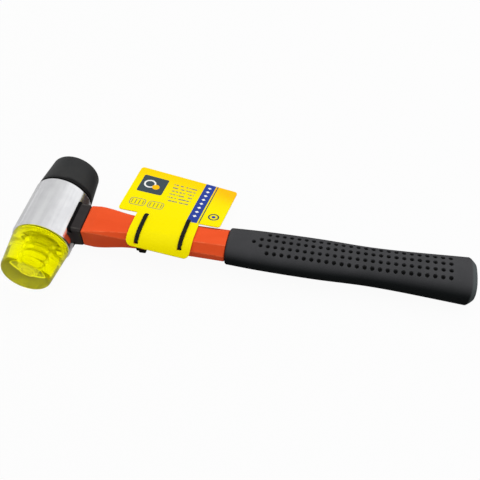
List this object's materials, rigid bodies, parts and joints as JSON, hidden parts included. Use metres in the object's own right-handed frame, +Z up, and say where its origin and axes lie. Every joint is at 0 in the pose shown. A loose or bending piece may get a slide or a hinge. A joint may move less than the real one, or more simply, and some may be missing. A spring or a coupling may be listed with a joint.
{
  "type": "double-faced soft mallet",
  "caption": "Mallet with a chromed head, screw-in plastic and rubber striking faces, a fibreglass-cored handle with a dimpled soft grip, and a card tied to the handle.",
  "frame": {"origin": "middle of the bounding box, on the ground that the head and the butt of the grip rest on", "axes": "+X from the head along the handle to the butt, +Y along the head's axis from the plastic face to the rubber face, +Z up"},
  "size_m": [0.2764, 0.0972, 0.0365],
  "materials": {
    "head_chrome": "bright chrome plate",
    "yellow_plastic": "clear yellow, polished",
    "face_rubber": "matt moulded",
    "stud_steel": "turned",
    "washer_black": "matt",
    "fibreglass": "pulled rod",
    "resin": "cast",
    "collar_black": "satin moulded",
    "jacket_orange": "satin moulded",
    "grip_rubber": "matt soft-touch",
    "card_yellow": "glossy print",
    "tie_black": "moulded nylon"
  },
  "bodies": {
    "head_and_handle": {"head_body": "head_chrome", "eye_resin": "resin", "fibreglass_core": "fibreglass", "neck_collar": "collar_black", "handle_jacket": "jacket_orange", "grip_sleeve": "grip_rubber", "hang_card": "card_yellow", "front_tie": "tie_black", "rear_tie": "tie_black"},
    "plastic_washer": {"plastic_face_washer": "washer_black"},
    "plastic_end": {"plastic_face": "yellow_plastic"},
    "rubber_washer": {"rubber_face_washer": "washer_black"},
    "rubber_end": {"rubber_face": "face_rubber", "rubber_face_stud": "stud_steel"}
  },
  "joints": [
    {"name": "plastic_face_travel", "type": "slide", "parent": "head_and_handle", "child": "plastic_washer", "axis": [0, -1, 0], "range_m": [0, 0.01126]},
    {"name": "plastic_face_screw", "type": "hinge", "parent": "plastic_washer", "child": "plastic_end", "pos_m": [-0.12001, -0.00433, 0.01825], "axis": [0, -1, 0], "range_deg": [0, 1350]},
    {"name": "rubber_face_travel", "type": "slide", "parent": "head_and_handle", "child": "rubber_washer", "axis": [0, 1, 0], "range_m": [0, 0.01126]},
    {"name": "rubber_face_screw", "type": "hinge", "parent": "rubber_washer", "child": "rubber_end", "pos_m": [-0.12001, -0.00433, 0.01825], "axis": [0, 1, 0], "range_deg": [0, 1350]}
  ],
  "couplings": [
    {"joint": "plastic_face_travel", "follows": "plastic_face_screw", "m_per_rad": 0.00047746},
    {"joint": "rubber_face_travel", "follows": "rubber_face_screw", "m_per_rad": 0.00047746}
  ]
}
